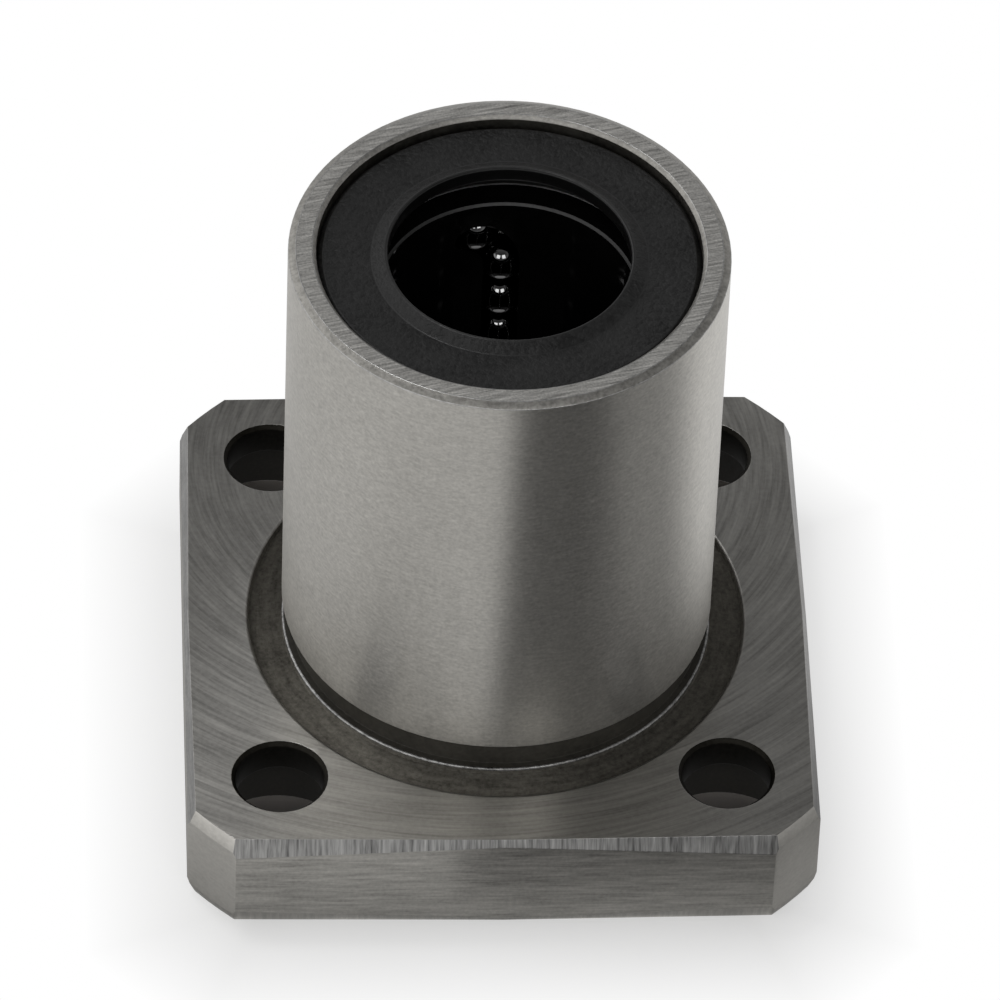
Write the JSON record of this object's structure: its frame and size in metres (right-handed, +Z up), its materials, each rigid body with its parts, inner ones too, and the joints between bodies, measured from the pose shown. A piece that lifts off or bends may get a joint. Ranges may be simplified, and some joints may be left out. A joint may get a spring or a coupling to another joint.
{
  "type": "square flange linear bearing",
  "caption": "Linear ball bearing with a square counterbored flange, a ground steel sleeve, a resin ball cage and rubber wiper seals; guides a round shaft along its axis.",
  "frame": {"origin": "centre of the flange's outer face, where the counterbores open and on which the bearing stands", "axes": "+Z up the shaft hole towards the sleeve's free end; the flange's sides lie along X and Y"},
  "size_m": [0.032, 0.032, 0.032],
  "materials": {
    "ground_steel": "satin",
    "black_rubber": "matte",
    "black_resin": "gloss",
    "ball_steel": "polished",
    "spring_steel": "satin"
  },
  "bodies": {
    "housing": {"flanged_sleeve": "ground_steel", "ball_cage": "black_resin", "flange_end_seal": "black_rubber", "sleeve_end_seal": "black_rubber", "flange_end_retaining_ring": "spring_steel", "sleeve_end_retaining_ring": "spring_steel"},
    "load_group_1": {"load_balls_1": "ball_steel"},
    "return_group_1": {"return_balls_1": "ball_steel"},
    "sleeve_turn_group_1": {"sleeve_turn_balls_1": "ball_steel"},
    "flange_turn_group_1": {"flange_turn_balls_1": "ball_steel"},
    "load_group_2": {"load_balls_2": "ball_steel"},
    "return_group_2": {"return_balls_2": "ball_steel"},
    "sleeve_turn_group_2": {"sleeve_turn_balls_2": "ball_steel"},
    "flange_turn_group_2": {"flange_turn_balls_2": "ball_steel"},
    "load_group_3": {"load_balls_3": "ball_steel"},
    "return_group_3": {"return_balls_3": "ball_steel"},
    "sleeve_turn_group_3": {"sleeve_turn_balls_3": "ball_steel"},
    "flange_turn_group_3": {"flange_turn_balls_3": "ball_steel"},
    "load_group_4": {"load_balls_4": "ball_steel"},
    "return_group_4": {"return_balls_4": "ball_steel"},
    "sleeve_turn_group_4": {"sleeve_turn_balls_4": "ball_steel"},
    "flange_turn_group_4": {"flange_turn_balls_4": "ball_steel"}
  },
  "joints": [
    {"name": "load_run_1", "type": "slide", "parent": "housing", "child": "load_group_1", "axis": [0, 0, 1], "range_m": [-0.0022, 0.0002]},
    {"name": "return_run_1", "type": "slide", "parent": "housing", "child": "return_group_1", "axis": [0, 0, 1], "range_m": [-0.0002, 0.0022]},
    {"name": "sleeve_turn_1", "type": "hinge", "parent": "housing", "child": "sleeve_turn_group_1", "pos_m": [0.0072, 0.0018, 0.0249], "axis": [-1, 0, 0], "range_deg": [-70.03, 6.37]},
    {"name": "flange_turn_1", "type": "hinge", "parent": "housing", "child": "flange_turn_group_1", "pos_m": [0.0072, 0.0018, 0.0077], "axis": [-1, 0, 0], "range_deg": [-70.03, 6.37]},
    {"name": "load_run_2", "type": "slide", "parent": "housing", "child": "load_group_2", "axis": [0, 0, 1], "range_m": [-0.0022, 0.0002]},
    {"name": "return_run_2", "type": "slide", "parent": "housing", "child": "return_group_2", "axis": [0, 0, 1], "range_m": [-0.0002, 0.0022]},
    {"name": "sleeve_turn_2", "type": "hinge", "parent": "housing", "child": "sleeve_turn_group_2", "pos_m": [-0.0018, 0.0072, 0.0249], "axis": [0, -1, 0], "range_deg": [-70.03, 6.37]},
    {"name": "flange_turn_2", "type": "hinge", "parent": "housing", "child": "flange_turn_group_2", "pos_m": [-0.0018, 0.0072, 0.0077], "axis": [0, -1, 0], "range_deg": [-70.03, 6.37]},
    {"name": "load_run_3", "type": "slide", "parent": "housing", "child": "load_group_3", "axis": [0, 0, 1], "range_m": [-0.0022, 0.0002]},
    {"name": "return_run_3", "type": "slide", "parent": "housing", "child": "return_group_3", "axis": [0, 0, 1], "range_m": [-0.0002, 0.0022]},
    {"name": "sleeve_turn_3", "type": "hinge", "parent": "housing", "child": "sleeve_turn_group_3", "pos_m": [-0.0072, -0.0018, 0.0249], "axis": [1, 0, 0], "range_deg": [-70.03, 6.37]},
    {"name": "flange_turn_3", "type": "hinge", "parent": "housing", "child": "flange_turn_group_3", "pos_m": [-0.0072, -0.0018, 0.0077], "axis": [1, 0, 0], "range_deg": [-70.03, 6.37]},
    {"name": "load_run_4", "type": "slide", "parent": "housing", "child": "load_group_4", "axis": [0, 0, 1], "range_m": [-0.0022, 0.0002]},
    {"name": "return_run_4", "type": "slide", "parent": "housing", "child": "return_group_4", "axis": [0, 0, 1], "range_m": [-0.0002, 0.0022]},
    {"name": "sleeve_turn_4", "type": "hinge", "parent": "housing", "child": "sleeve_turn_group_4", "pos_m": [0.0018, -0.0072, 0.0249], "axis": [0, 1, 0], "range_deg": [-70.03, 6.37]},
    {"name": "flange_turn_4", "type": "hinge", "parent": "housing", "child": "flange_turn_group_4", "pos_m": [0.0018, -0.0072, 0.0077], "axis": [0, 1, 0], "range_deg": [-70.03, 6.37]}
  ],
  "couplings": [
    {"joint": "return_run_1", "follows": "load_run_1", "ratio": -1},
    {"joint": "sleeve_turn_1", "follows": "load_run_1", "rad_per_m": 555.56},
    {"joint": "flange_turn_1", "follows": "load_run_1", "rad_per_m": 555.56},
    {"joint": "return_run_2", "follows": "load_run_2", "ratio": -1},
    {"joint": "sleeve_turn_2", "follows": "load_run_2", "rad_per_m": 555.56},
    {"joint": "flange_turn_2", "follows": "load_run_2", "rad_per_m": 555.56},
    {"joint": "return_run_3", "follows": "load_run_3", "ratio": -1},
    {"joint": "sleeve_turn_3", "follows": "load_run_3", "rad_per_m": 555.56},
    {"joint": "flange_turn_3", "follows": "load_run_3", "rad_per_m": 555.56},
    {"joint": "return_run_4", "follows": "load_run_4", "ratio": -1},
    {"joint": "sleeve_turn_4", "follows": "load_run_4", "rad_per_m": 555.56},
    {"joint": "flange_turn_4", "follows": "load_run_4", "rad_per_m": 555.56}
  ]
}
